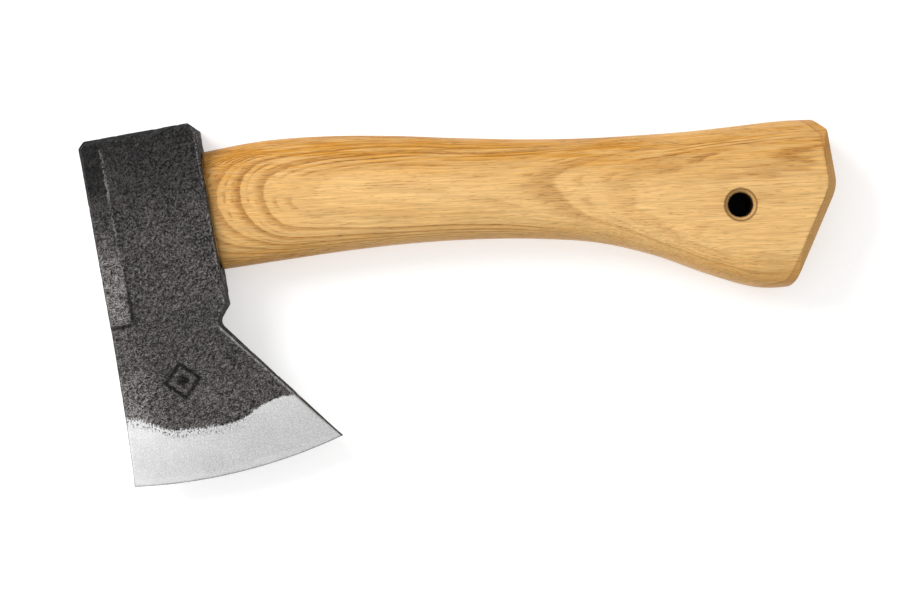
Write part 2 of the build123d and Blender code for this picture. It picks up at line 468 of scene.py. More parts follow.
def head_grid():
    """The side view's points, in rows from the poll to the edge, each from left to right."""
    left_y = POLL_Y - stations(POLL_Y - TOE[1], ROW_STEP, RIM_PLACES)
    fall = (LUG_END[1] - HEEL[1]) / (LUG_END[1] - TOE[1])
    right_y = np.where(left_y > LUG_END[1], left_y, LUG_END[1] + (left_y - LUG_END[1]) * fall)
    left_x = np.interp(-left_y, -LEFT_SIDE[:, 1], LEFT_SIDE[:, 0])
    right_x = np.interp(-right_y, -RIGHT_SIDE[:, 1], RIGHT_SIDE[:, 0])
    width = (right_x - left_x)[:, None]
    close = np.array(RIM_PLACES) / width
    inner = np.linspace(0, 1, ACROSS_POINTS)[1:-1]
    across = np.hstack([close, close[:, -1:] + inner * (1 - 2 * close[:, -1:]), 1 - close[:, ::-1]])
    x = left_x[:, None] + across * width
    y = left_y[:, None] + across * (right_y - left_y)[:, None]
    # The rows bend more and more into the edge's arc.
    arc_y = EDGE_CENTRE[1] - np.sqrt((EDGE_RADIUS - EDGE_INSET)**2 - (x[-1] - EDGE_CENTRE[0]) ** 2)
    return x, y + (arc_y - y[-1]) * smooth(LUG_END[1], TOE[1], left_y)[:, None]


def cheeks(x, y):
    """The heights of the upper and the lower cheek, with their chamfered rims."""
    room = lens_height(edge_distance(x, y))
    rim = np.minimum(distance_to_path(x, y, LEFT_SIDE), distance_to_path(x, y, RIGHT_SIDE))
    rim_cut = np.minimum(CHEEK_CHAMFER, 0.45 * room) - rim
    poll_cut = POLL_CHAMFER - distance_to_path(x, y, POLL_SIDE)
    chamfer = np.maximum(np.maximum(rim_cut, poll_cut), 0)
    return cheek_height(x, y, 1) - chamfer, -(cheek_height(x, y, 2) - chamfer)


def side_wall(x, y, start_z, end_z):
    """The points of a side wall, between a row's end on one cheek and on the other."""
    t = np.linspace(0, 1, WALL_POINTS)[1:-1]
    return np.stack([np.repeat(x, len(t), 1), np.repeat(y, len(t), 1), start_z + (end_z - start_z) * t], -1)


def dented(rings):
    """The rings with the forging's dents. They go inwards only, to keep the head's size."""
    normal = grid_normals(rings)
    outwards = np.sign((normal * (rings - np.array(HEAD_MIDDLE))).sum(-1).mean())
    x, y = rings[..., 0], rings[..., 1]
    rough = smooth(0.3, -0.6, ground_depth(x, y, 3))
    depth = SKIN_DENT * forge_texture(rings, 40) * rough + GRIND_DEPTH * (1 - rough)
    edge_fade = smooth(0.0, 3.0, edge_distance(x, y))
    return rings - outwards * normal * (depth * edge_fade)[..., None]


def poll_grid(ring, columns, walls):
    """The points inside the poll's face, spread between the four sides of the ring around it."""
    upper = ring[None, :columns]
    right = ring[columns:columns + walls]
    lower = ring[None, columns + walls:2 * columns + walls][:, ::-1]
    left = ring[2 * columns + walls:][::-1]
    v = np.linspace(0, 1, walls + 2)[1:-1, None, None]
    u = np.linspace(0, 1, columns)[None, 1:-1, None]
    poll = (1 - v) * upper[:, 1:-1] + v * lower[:, 1:-1]
    poll = poll + (1 - u) * (left[:, None] - ((1 - v) * upper[:, :1] + v * lower[:, :1]))
    poll = poll + u * (right[:, None] - ((1 - v) * upper[:, -1:] + v * lower[:, -1:]))
    poll[..., 1] -= POLL_DENT * forge_texture(poll, 60) * np.minimum(1, 8 * u * (1 - u))[..., 0]
    return poll


def head_faces(rows, columns, walls):
    """The faces of the rings, of the poll's grid and of the cutting edge."""
    count = 2 * (columns + walls)
    right = np.arange(columns, columns + walls)
    under = np.arange(columns + walls, 2 * columns + walls)[::-1]
    left = np.arange(2 * columns + walls, count)[::-1]
    index = np.zeros((walls + 2, columns), int)
    index[0] = np.arange(columns)
    index[-1] = under
    index[1:-1, -1] = right
    index[1:-1, 0] = left
    index[1:-1, 1:-1] = rows * count + np.arange(walls * (columns - 2)).reshape(walls, columns - 2)
    poll_faces = np.stack([index[:-1, :-1], index[1:, :-1], index[1:, 1:], index[:-1, 1:]], -1)

    # The cutting edge joins the last ring's two long sides.
    last = (rows - 1) * count
    upper, under = last + np.arange(columns), last + under
    edge_faces = np.stack([upper[:-1], upper[1:], under[1:], under[:-1]], -1)
    faces = [*ring_faces(rows, count), *poll_faces.reshape(-1, 4), *edge_faces]
    faces.append([upper[-1], *(last + right), under[-1]])
    faces.append([upper[0], under[0], *(last + left)[::-1]])
    return faces


def head_blank():
    """The head before its eye is cut."""
    x, y = head_grid()
    top, bottom = cheeks(x, y)
    rings = dented(np.concatenate([
        np.stack([x, y, top], -1),
        side_wall(x[:, -1:], y[:, -1:], top[:, -1:], bottom[:, -1:]),
        np.stack([x, y, bottom], -1)[:, ::-1],
        side_wall(x[:, :1], y[:, :1], bottom[:, :1], top[:, :1]),
    ], axis=1))
    columns, walls = x.shape[1], WALL_POINTS - 2
    poll = poll_grid(rings[0], columns, walls)
    points = np.concatenate([rings.reshape(-1, 3), poll.reshape(-1, 3)])
    return new_piece("hatchet_head", points, head_faces(len(rings), columns, walls))


def eye_size(x, grow):
    """The radius of the eye's round ends at x, and half the straight length between them."""
    t = (x + HEAD_DEPTH) / HEAD_DEPTH
    length = EYE_TOP[0] + (EYE_BOTTOM[0] - EYE_TOP[0]) * t + 2 * grow
    width = EYE_TOP[1] + (EYE_BOTTOM[1] - EYE_TOP[1]) * t + 2 * grow
    return width / 2, (length - width) / 2


def eye_ring(x, grow, count=96):
    """The eye's outline at x, in order around it."""
    radius, straight = eye_size(x, grow)
    turn = 2 * np.pi * (np.arange(count) + 0.5) / count
    side = np.where(np.cos(turn) > 0, straight, -straight)
    return np.stack([np.full(count, x), side + radius * np.cos(turn), radius * np.sin(turn)], -1)


def ring_solid(name, rings):
    """A closed solid through rings, with flat ends."""
    rows, count = len(rings), len(rings[0])
    faces = [*ring_faces(rows, count), range(count), range((rows - 1) * count, rows * count)]
    return new_piece(name, np.concatenate(rings), faces)


def eye_tool():
    """The tapered eye, flared at its outer rim."""
    flare = [(-1, 1.1), (-0.1, 0.5), (0.6, 0.0), (HEAD_DEPTH, 0.0), (HEAD_DEPTH + 1, 0.0)]
    return ring_solid("eye_tool", [eye_ring(depth - HEAD_DEPTH, grow) for depth, grow in flare])


def make_head():
    """The forged head, with its eye."""
    head = head_blank()
    cut(head, eye_tool())
    shade_smooth(head, 50)
    return head


# --- The handle ---
BUTT_OUTLINE = rounded(
    [BUTT_CORNER_TOP, BUTT_CORNER, BUTT_BEND, BUTT_TOE, (150.0, BUTT_TOE[1])],
    [BUTT_CORNER_RADIUS, BUTT_BEND_RADIUS, BUTT_TOE_RADIUS],
)


def handle_at(x):
    """The handle's upper and lower outline, half thickness and squareness at x."""
    places, *values = columns_of(HANDLE_SECTIONS)
    return [curve(places, value, x) for value in values]


def section(x, turn):
    """The handle's oval at x, read at an angle. Returns y and z."""
    top, bottom, half, square = handle_at(x)
    c, s = np.cos(turn), np.sin(turn)
    y = (top + bottom) / 2 + (top - bottom) / 2 * np.sign(c) * np.abs(c) ** (2 / square)
    z = half * np.sign(s) * np.abs(s) ** (2 / square)
    return y, z


def butt_x(y):
    """Where the butt's wall stands at the height y."""
    return np.interp(-y, -BUTT_OUTLINE[:, 1], BUTT_OUTLINE[:, 0])


def soft_limit(value, limit, width):
    """The value, held below the limit with a rounded shoulder of the width."""
    over = (value - limit) / width
    return limit - width * np.logaddexp(0, -over)


def oval_angles():
    """The angles of the oval's points, spread by arc length."""
    fine = np.linspace(0, 2 * np.pi, 2000)
    y, z = section(np.full(len(fine), 80.0), fine)
    walk = np.concatenate([[0], np.cumsum(np.hypot(np.diff(y), np.diff(z)))])
    return np.interp(np.arange(SECTION_POINTS) / SECTION_POINTS * walk[-1], walk, fine)


def grip_ring(x, turn):
    """The handle's outline at x, its shoulder rounded where it meets the head."""
    x = np.full(SECTION_POINTS, x)
    y, z = section(x, turn)
    shoulder = 0.5 * np.maximum(0, 1 - x / 0.8) ** 2
    y = y - shoulder * np.sign(y) * np.abs(np.cos(turn))
    return np.stack([x, y, z - shoulder * np.sign(z)], -1)


def butt_ring(share, turn):
    """A ring at a share of the way to the butt's wall, which leans over like the wall."""
    x = np.full(SECTION_POINTS, BUTT_START_X + share * (BUTT_X - BUTT_START_X))
    for _ in range(12):
        y, _ = section(x, turn)
        x = BUTT_START_X + share * (butt_x(y) - BUTT_START_X)
    return np.stack([x, *section(x, turn)], -1)


def handle_rings():
    """The handle's outlines from the head to the butt."""
    turn = oval_angles()
    grip = np.concatenate([[0, 0.15, 0.4, 0.8, 1.4], np.arange(2.2, BUTT_START_X, 0.9)])
    close = np.array([3.0, 2.6, 2.2, 1.8, 1.4, 1.0, 0.7, 0.4, 0.15, 0]) / 62
    butt = np.concatenate([np.linspace(0, 1, 64)[:-3], 1 - close])
    rings = np.array([grip_ring(x, turn) for x in grip] + [butt_ring(share, turn) for share in butt])
    # The knob's two sides are flat, and bevelled towards the butt.
    wall = distance_to_path(rings[..., 0], rings[..., 1], BUTT_OUTLINE)
    limit = HALF_THICKNESS - 0.02 - np.maximum(BUTT_BEVEL - wall, 0)
    size = np.abs(rings[..., 2])
    held = np.where(rings[..., 0] > KNOB_X, np.minimum(size, soft_limit(size, limit, 0.12)), size)
    rings[..., 2] = np.sign(rings[..., 2]) * held
    return rings


def slot_points(x, radius, straight, count):
    """Evenly spaced points of a slot's outline, from its upper end on, in the handle's order."""
    quarter = np.pi * radius / 2
    total = 4 * (quarter + straight)
    walked = np.arange(count) / count * total
    side = np.where(walked > total / 2, -1, 1)
    walked = np.minimum(walked, total - walked)
    turned = np.clip(walked, 0, quarter) + np.clip(walked - quarter - 2 * straight, 0, quarter)
    slid = np.clip(walked - quarter, 0, 2 * straight)
    y = straight - slid + radius * np.cos(turned / radius)
    return np.stack([np.full(count, x), y, side * radius * np.sin(turned / radius)], -1)


def close_handle(rings):
    """The handle with its tenon at one end and the butt's wall at the other."""
    count = rings.shape[1]
    tenon = []
    for depth in (0.05, 0.35, 10.0, 20.0, 30.0, HEAD_DEPTH - 0.02):
        grow = -0.28 if depth < 0.2 else -0.06
        x = depth - HEAD_DEPTH
        tenon.append(slot_points(x, *eye_size(x, grow), count))
    rings = np.concatenate([np.array(tenon), rings])
    rows = len(rings)
    # The butt's wall is a grid of ribs between points at the same height.
    last = (rows - 1) * count
    ribs = count // 2 - 1
    steps = 14
    t = np.linspace(0, 1, steps + 1)[1:-1, None]
    inner = np.array([(1 - t) * rings[-1, k + 1] + t * rings[-1, count - k - 1] for k in range(ribs)])
    index = np.zeros((ribs, steps + 1), int)
    index[:, 0] = last + 1 + np.arange(ribs)
    index[:, -1] = last + count - 1 - np.arange(ribs)
    index[:, 1:-1] = rows * count + np.arange(ribs * (steps - 1)).reshape(ribs, steps - 1)
    grid = np.stack([index[:-1, :-1], index[:-1, 1:], index[1:, 1:], index[1:, :-1]], -1)
    faces = [*ring_faces(rows, count), range(count), *grid.reshape(-1, 4)]
    faces += [[last, index[0, j], index[0, j + 1]] for j in range(steps)]
    faces += [[last + count // 2, index[-1, j + 1], index[-1, j]] for j in range(steps)]
    return new_piece("hatchet_handle", np.concatenate([rings.reshape(-1, 3), inner.reshape(-1, 3)]), faces)


def hole_circle(radius, z, count=72):
    """A circle around the hanging hole at the height z."""
    turn = 2 * np.pi * np.arange(count) / count
    x, y = HOLE[0] + radius * np.cos(turn), HOLE[1] + radius * np.sin(turn)
    return np.stack([x, y, np.full(count, z)], -1)


def hole_tool():
    """The hanging hole, countersunk on both sides."""
    sink = SINK_RADIUS - HOLE_RADIUS
    profile = [
        (SINK_RADIUS + 2, -2), (SINK_RADIUS, 0), (HOLE_RADIUS + 0.1, sink - 0.1), (HOLE_RADIUS, sink + 0.1),
    ]
    below = [hole_circle(radius, -HALF_THICKNESS + depth) for radius, depth in profile]
    above = [hole_circle(radius, HALF_THICKNESS - depth) for radius, depth in profile[::-1]]
    return ring_solid("hole_tool", below + above)


def wedge_ring(x, gap, count_y=40, count_z=6):
    """The wedge's outline at x, in order around it."""
    t = (x + HEAD_DEPTH) / WEDGE_LENGTH
    half_y = EYE_TOP[0] / 2 - WEDGE_MARGIN + gap
    half_z = (WEDGE_TOP + (WEDGE_TIP - WEDGE_TOP) * t) / 2 + gap
    y, z = np.linspace(-half_y, half_y, count_y + 1), np.linspace(-half_z, half_z, count_z + 1)
    under, end = [(x, v, -half_z) for v in y[:-1]], [(x, half_y, v) for v in z[:-1]]
    over, start = [(x, v, half_z) for v in y[:0:-1]], [(x, -half_y, v) for v in z[:0:-1]]
    return np.array(under + end + over + start)


def round_ring(x, radius, count=64):
    """A circle around the eye's axis at x."""
    turn = 2 * np.pi * np.arange(count) / count
    return np.stack([np.full(count, x), radius * np.cos(turn), radius * np.sin(turn)], -1)


def tube_solid(name, outside, inside):
    """A closed tube between rings outside and rings inside."""
    rings = np.array(outside + inside[::-1])
    rings = np.concatenate([rings, rings[:1]])
    rows, count = rings.shape[:2]
    faces = ring_faces(rows, count) % ((rows - 1) * count)
    return new_piece(name, rings[:-1].reshape(-1, 3), faces)


def kerf():
    """The cut in the tenon for the wooden wedge."""
    ends = (-HEAD_DEPTH - 1, WEDGE_LENGTH - HEAD_DEPTH + POCKET_GAP)
    return ring_solid("kerf", [wedge_ring(x, POCKET_GAP) for x in ends])


def ring_groove():
    """The cut across the tenon and the wooden wedge for the ring."""
    ends = (-HEAD_DEPTH - 1, RING_DEPTH - HEAD_DEPTH + POCKET_GAP)
    outside = [round_ring(x, RING_RADIUS + POCKET_GAP) for x in ends]
    inside = [round_ring(x, RING_RADIUS - RING_WALL - POCKET_GAP) for x in ends]
    return tube_solid("ring_groove", outside, inside)


def make_handle():
    """The handle, with its hole and the cuts for both wedges."""
    handle = close_handle(handle_rings())
    cut(handle, hole_tool())
    cut(handle, kerf())
    cut(handle, ring_groove())
    shade_smooth(handle, 45)
    return handle


def make_eye_wedge():
    """The split wooden wedge, its driven end slightly crushed."""
    depths = [0.02, 0.2, 0.5, 1.0, *np.linspace(2, WEDGE_LENGTH, 24)]
    wedge = ring_solid("split_eye_wedge", [
        wedge_ring(depth - HEAD_DEPTH, -0.12 if depth < 0.1 else -0.02) for depth in depths
    ])
    cut(wedge, ring_groove())
    shade_smooth(wedge, 40)
    return wedge


def make_ring_wedge():
    """The steel ring, its rim rounded and dented by the hammer."""
    top, end = -HEAD_DEPTH + 0.03, RING_DEPTH - HEAD_DEPTH
    inner = RING_RADIUS - RING_WALL
    # Each row is x, how far the outside stays in there, and how far the inside stays out.
    rim = [(top, 0.5, 0.45), (top + 0.12, 0.2, 0.18), (top + 0.4, 0.02, 0.02), (end, 0.02, 0.02)]
    outside = [round_ring(x, RING_RADIUS - less) for x, less, _ in rim]
    inside = [round_ring(x, inner + more) for x, _, more in rim]
    for circle in (outside[0], inside[0]):
        circle[:, 0] += 0.12 + 0.12 * noise(circle, 2.0, 90)
    ring = tube_solid("dented_ring_wedge", outside, inside)
    shade_smooth(ring, 50)
    return ring


head = make_head()
handle = make_handle()
wedge = make_eye_wedge()
ring = make_ring_wedge()

# --- Materials ---
def put(tree, node, socket, value):
    """Links another node's output to a socket, or sets the socket to a constant."""
    if isinstance(value, bpy.types.NodeSocket):
        tree.links.new(value, node.inputs[socket])
    elif value is not None:
        node.inputs[socket].default_value = value


def add_node(tree, kind, inputs, output=0, **settings):
    """Adds a shader node and returns one of its outputs."""
    node = tree.nodes.new("ShaderNode" + kind)
    for name, value in settings.items():
        setattr(node, name, value)
    for socket, value in inputs.items():
        put(tree, node, socket, value)
    return node.outputs[output]


class Material:
    """Adds the nodes of one material, with lengths in millimetres."""

    def __init__(self, name):
        self.made = bpy.data.materials.new(name)
        self.made.use_nodes = True
        position = self.node("TexCoord", {}, "Object")
        in_mm = self.vector("SCALE", position, scale=1 / MM)
        self.place = self.vector("SUBTRACT", in_mm, tuple(DATUM))

    def node(self, kind, inputs, output=0, **settings):
        return add_node(self.made.node_tree, kind, inputs, output, **settings)

    def turn(self, degrees):
        """Turns the place about z, so that its x runs at an angle."""
        inputs = {"Vector": self.place, "Angle": -math.radians(degrees)}
        self.place = self.node("VectorRotate", inputs, "Vector", rotation_type="Z_AXIS")

    def vector(self, operation, a, b=None, scale=None):
        return self.node("VectorMath", {0: a, 1: b, "Scale": scale}, "Vector", operation=operation)

    def math(self, operation, a, b=None, c=None):
        return self.node("Math", {0: a, 1: b, 2: c}, operation=operation)

    def product(self, value, *factors):
        for factor in factors:
            value = self.math("MULTIPLY", value, factor)
        return value

    def rise(self, value, low, high, out_low=0.0, out_high=1.0):
        """A smooth change from out_low to out_high while the value goes from low to high."""
        inputs = {0: value, 1: low, 2: high, 3: out_low, 4: out_high}
        return self.node("MapRange", inputs, interpolation_type="SMOOTHSTEP")

    def vary(self, speckle, swing, middle):
        """The middle value, moved up and down by the speckle."""
        return self.math("MULTIPLY_ADD", self.math("SUBTRACT", speckle, 0.5), swing, middle)

    def blend(self, factor, a, b):
        """A number between a and b."""
        return self.math("MULTIPLY_ADD", factor, self.math("SUBTRACT", b, a), a)

    def stored(self, name):
        """The number that each vertex has under the name."""
        return self.node("Attribute", {}, "Fac", attribute_name=name)

    def stretched(self, sizes, offset=0.0):
        """The place divided by a lump's three sizes."""
        moved = self.vector("ADD", self.place, (offset, offset * 0.7, offset * 1.3))
        return self.vector("DIVIDE", moved, sizes)

    def speckle(self, vector, detail=2.0, roughness=0.5, distortion=0.0):
        inputs = {"Vector": vector, "Scale": 1.0, "Detail": detail, "Roughness": roughness}
        return self.node("TexNoise", {**inputs, "Distortion": distortion}, "Fac")

    def mix(self, factor, a, b):
        """A colour between a and b."""
        return self.node("Mix", {0: factor, 6: a, 7: b}, 2, data_type="RGBA")

    def shade(self, colour, amount):
        """The colour times the amount."""
        return self.vector("SCALE", colour, scale=amount)

    def bump(self, height, depth):
        return self.node("Bump", {"Height": height, "Distance": depth * MM}, "Normal")

    def set(self, **values):
        """Sets the surface's sockets, whose names have spaces for the underscores."""
        tree = self.made.node_tree
        for name, value in values.items():
            put(tree, tree.nodes["Principled BSDF"], name.replace("_", " "), value)


def grinding_lines(m):
    """Hairlines across the ground bevel."""
    along, across = m.product(m.stored("along_edge"), 3.2), m.product(m.stored("from_edge"), 0.07)
    return m.speckle(m.node("CombineXYZ", {0: along, 1: across}), 3.0, 0.7)


def bare_share(m, fine):
    """Where the steel is ground bare, up to a ragged line and but for a few specks."""
    specks_here = m.stored("specks")
    smears = m.speckle(m.stretched((0.35, 2.2, 2.2), 55.0), 2.0, 0.5)
    border = m.vary(fine, 1.6, m.stored("ground"))
    border = m.vary(smears, m.product(specks_here, 3.6), border)
    specks = m.rise(m.speckle(m.stretched((0.5, 0.8, 0.5), 70.0), 2.0, 0.5), 0.56, 0.63)
    specks = m.product(specks, m.rise(specks_here, 0.0, 1.0))
    return m.product(m.rise(border, -0.45, 0.45), m.math("SUBTRACT", 1.0, specks))


def scale_colour(m, fine, grain, hide, worn_and_highlit):
    """Black and grainy scale, rubbed lighter where it is worn, and lighter where a highlight is painted on
    the edges.
    """
    lumps = m.speckle(m.stretched((7.0, 7.0, 7.0), 40.0), 3.0, 0.5)
    spread = m.product(m.rise(grain, 0.34, 0.66), 1.7)
    spread = m.vary(fine, 3.2, spread)
    spread = m.vary(hide, 2.6, spread)
    spread = m.vary(lumps, 0.9, spread)
    # The stored tone carries painted light and shade.
    tone = m.product(m.math("MAXIMUM", spread, 0.1), m.stored("scale_tone"))
    return m.mix(m.product(worn_and_highlit, 0.8), m.shade(SCALE_TINT, tone), WORN_AND_HIGHLIT_STEEL)


def bevel_colour(m, grain, hairlines):
    """Bright steel, a little cloudy, with its tone's painted light and shade."""
    clouds = m.speckle(m.stretched((9.0, 6.0, 9.0), 15.0), 2.0, 0.5)
    bright = m.vary(hairlines, 0.20, m.stored("bevel_tone"))
    bright = m.vary(clouds, 0.16, bright)
    return m.shade(BARE_TINT, m.vary(grain, 0.80, bright))


def forged_steel():
    """Black forge scale, with a ground bevel and edges worn bright and painted with highlights."""
    m = Material("forged_and_ground_steel")
    fine = m.speckle(m.stretched((0.8, 0.8, 0.8)), 4.0, 0.6)
    grain = m.speckle(m.stretched((0.42, 0.42, 0.42), 20.0), 3.0, 0.6)
    hide = m.speckle(m.stretched((1.5, 1.5, 1.5), 10.0), 2.0, 0.5, 0.6)
    hairlines = grinding_lines(m)
    bare = bare_share(m, fine)
    # Edge wear, partly a painted highlight.
    worn_and_highlit = m.rise(m.vary(fine, 1.4, m.stored("wear")), 0.45, 0.65)

    rough_scale = m.blend(worn_and_highlit, m.vary(fine, 0.35, 0.46), 0.36)
    rough_scale = m.blend(m.stored("wall"), rough_scale, 0.85)
    rough_bare = m.vary(hairlines, 0.25, 0.50)
    skin = m.math("MULTIPLY_ADD", hide, m.stored("hammered"), fine)
    skin = m.math("MULTIPLY_ADD", grain, 0.8, skin)
    ground = m.math("MULTIPLY_ADD", m.math("ADD", hairlines, grain), 0.028, 2.8)
    m.set(
        Base_Color=m.mix(bare, scale_colour(m, fine, grain, hide, worn_and_highlit), bevel_colour(m, grain, hairlines)),
        Metallic=m.math("MAXIMUM", bare, m.product(worn_and_highlit, 0.6)),
        Roughness=m.blend(bare, rough_scale, rough_bare),
        Specular_IOR_Level=0.38,
        Normal=m.bump(m.blend(bare, skin, ground), 1.9),
    )
    return m.made


def growth_bands(m, streaks):
    """The growth rings' dark bands, and finer lines between them."""
    rings = m.vary(streaks, 0.12, m.stored("ring"))
    part = m.math("FRACT", rings)
    number = m.math("FLOOR", rings)
    chance = m.node("TexWhiteNoise", {"W": number}, "Value", noise_dimensions="1D")
    strength = m.math("MULTIPLY_ADD", chance, 0.4, 0.6)
    quiet = m.math("COMPARE", number, QUIET_RING, 0.5)
    strength = m.product(strength, m.math("SUBTRACT", 1.0, m.product(quiet, 0.85)))
    # A band darkens slowly and ends sharply.
    band = m.product(m.rise(part, 0.42, 0.88), m.rise(part, 0.99, 0.91), strength, m.stored("figure"))
    part = m.math("FRACT", m.product(rings, 3.0))
    patches = m.rise(m.speckle(m.stretched((22.0, 3.5, 3.5), 45.0), 1.0, 0.5), 0.40, 0.62)
    shown = m.math("ADD", m.stored("flank"), 0.18)
    line = m.product(m.rise(part, 0.35, 0.85), m.rise(part, 0.98, 0.88), patches, shown)
    return m.math("MAXIMUM", band, line)


def butt_bevel_and_hole_shade(m, colour, fibres, place):
    """The colour with more oil on the butt's bevel, a dark line and darker wood around the hole's
    countersink, and painted shade, near black, inside the hole.
    """
    rim = m.vary(fibres, 1.0, m.stored("rim"))
    colour = m.mix(m.rise(rim, BUTT_BEVEL + 0.3, BUTT_BEVEL - 0.3, 0.0, 0.5), colour, BUTT_RIM)
    from_line = m.math("ABSOLUTE", m.math("SUBTRACT", rim, BUTT_BEVEL))
    colour = m.mix(m.rise(from_line, 0.5, 0.0, 0.0, 0.35), colour, BUTT_RIM_LINE)
    from_hole = m.vector("MULTIPLY", m.vector("SUBTRACT", place, (*HOLE, 0.0)), (1.0, 1.0, 0.0))
    from_hole = m.node("VectorMath", {0: from_hole}, "Value", operation="LENGTH")
    from_hole = m.vary(fibres, 0.5, from_hole)
    from_line = m.math("ABSOLUTE", m.math("SUBTRACT", from_hole, SINK_RADIUS))
    colour = m.mix(m.rise(from_line, 0.55, 0.1, 0.0, 0.8), colour, SINK_LINE)
    colour = m.mix(m.rise(from_hole, SINK_RADIUS, SINK_RADIUS - 0.3, 0.0, 0.25), colour, SINK_WOOD)
    # Painted shade: the hole's walls near black.
    return m.mix(m.rise(from_hole, HOLE_RADIUS + 0.5, HOLE_RADIUS + 0.1), colour, HOLE_SHADE_BLACK)


def handle_wood(name, with_butt_and_hole):
    """Oiled pale wood: dark porous bands between plain ones, and pores along the grain."""
    m = Material(name)
    unturned = m.place
    m.turn(GRAIN_ANGLE)
    streaks = m.speckle(m.stretched((30.0, 1.0, 1.0)), 3.0, 0.6)
    fibres = m.speckle(m.stretched((12.0, 0.36, 0.36), 30.0), 2.0, 0.6)
    clouds = m.speckle(m.stretched((38.0, 9.0, 9.0), 60.0), 2.0, 0.5)
    band = growth_bands(m, streaks)
    pores = m.speckle(m.stretched((4.5, 0.28, 0.28), 90.0), 1.0, 0.5)
    pores = m.rise(m.math("MULTIPLY_ADD", band, 0.09, pores), 0.62, 0.72)
    pores = m.product(pores, m.rise(band, 0.0, 0.8, 0.5, 1.0))

    # Darker and more orange towards both edges and by the head.
    edge_dark = m.product(m.stored("flank"), m.rise(streaks, 0.36, 0.64, 0.45, 1.35))
    pale = m.mix(edge_dark, m.mix(clouds, PALE_WOOD, DEEP_PALE_WOOD), DARK_EDGE_WOOD)
    colour = m.mix(band, pale, m.mix(clouds, DARK_WOOD, DEEP_DARK_WOOD))
    colour = m.shade(colour, m.vary(fibres, 0.95, 1.0))
    colour = m.shade(colour, m.vary(streaks, 0.50, 1.0))
    colour = m.mix(m.product(pores, 0.80), colour, PORES)
    # Only the handle gets the butt's bevel and the painted shade in its hole.
    colour = butt_bevel_and_hole_shade(m, colour, fibres, unturned) if with_butt_and_hole else m.shade(colour, WEDGE_SHADE)

    relief = m.math("SUBTRACT", m.product(fibres, 0.6), pores)
    relief = m.math("MULTIPLY_ADD", band, -0.3, relief)
    m.set(
        Base_Color=colour,
        Roughness=m.math("MULTIPLY_ADD", pores, 0.15, m.vary(fibres, 0.3, 0.46)),
        Specular_IOR_Level=0.22,
        Coat_Weight=0.03,
        Coat_Roughness=0.35,
        Normal=m.bump(relief, 0.06),
    )
    return m.made


def ring_steel():
    """Dull, hammered steel with patches of rust."""
    m = Material("dull_ring_steel")
    fine = m.speckle(m.stretched((0.5, 0.5, 0.5)), 4.0, 0.6)
    stains = m.speckle(m.stretched((2.5, 2.5, 2.5), 30.0), 3.0, 0.6)
    colour = m.mix(fine, RING_DARK, RING_LIGHT)
    m.set(
        Base_Color=m.mix(m.rise(stains, 0.52, 0.68, 0.0, 0.6), colour, RUST),
        Metallic=m.rise(stains, 0.52, 0.68, 0.9, 0.3),
        Roughness=m.math("MULTIPLY_ADD", fine, 0.3, 0.3),
        Normal=m.bump(fine, 0.06),
    )
    return m.made


def worn_and_highlit_edges(p, lens, right, beard):
    """How worn the scale is, partly real wear and partly a painted highlight: on the handle side's chamfer,
    and on the ridge beside the strip.
    """
    x, y, z = p.T
    at_cheek = smooth(2.2, 0.8, np.abs(lens - CHEEK_CHAMFER * 0.5 - np.abs(z)))
    chamfer = smooth(0.7, 0.25, np.abs(right - 0.75)) * at_cheek
    ridge = smooth(1.4, 0.3, np.abs(x - STRIP_EDGE_X)) * smooth(0, 1, np.abs(z) - 9)
    ridge = ridge * smooth(-27, -22, y) * smooth(30, 25, y)
    chamfer = chamfer * (0.50 + 0.10 * noise(p, 4.0, 33) + 0.22 * smooth(1.5, 0.5, beard))
    return chamfer, ridge * (0.54 + 0.12 * noise(p, 5.0, 31))


def cheek_tone_and_shade(p, left):
    """How light the scale is on a cheek, partly painted light and shade, with painted shade on the poll's
    chamfer, in the stamp, under the pad's end, beside the ridge and along the far outline.
    """
    x, y, z = p.T
    cheek = np.interp(y, *columns_of(CHEEK_TONE_AND_LIGHT))
    strip = np.interp(y, *columns_of(STRIP_TONE_AND_LIGHT))
    beside_ridge = smooth(STRIP_EDGE_X + 0.8, STRIP_EDGE_X - 0.8, x)
    tone = cheek + (strip - cheek) * np.where(y > PAD_END_Y, beside_ridge, smooth(-24, -39, x))
    poll_rim = POLL_Y - POLL_CHAMFER
    # A painted shadow under the pad's end, and painted shade beside the lower ridge.
    pad_shadow = smooth(0.9, 0.3, np.abs(y - PAD_END_Y + 0.3))
    pad_shadow = pad_shadow * smooth(STRIP_EDGE_X + 0.8, STRIP_EDGE_X - 0.2, x)
    ridge_shade = smooth(1.1, 0.1, np.abs(x - STRIP_EDGE_X - 0.9)) * smooth(-12, -27, y)
    ridge_shade = ridge_shade * smooth(PAD_END_Y - 1, PAD_END_Y, y)
    # Painted shade: near black on the poll's chamfer, in the stamp's grooves, under the pad and beside the
    # ridge, and along the far outline.
    tone = tone * (1 - 0.97 * smooth(poll_rim - 0.2, poll_rim + 0.2, y))
    tone = tone * (1 - 0.88 * stamp_groove(x, y) * smooth(2, 3, np.abs(z)))
    tone = tone * (1 - 0.85 * np.maximum(pad_shadow, ridge_shade))
    return tone * (1 - 0.7 * smooth(0.8, 0.2, left))


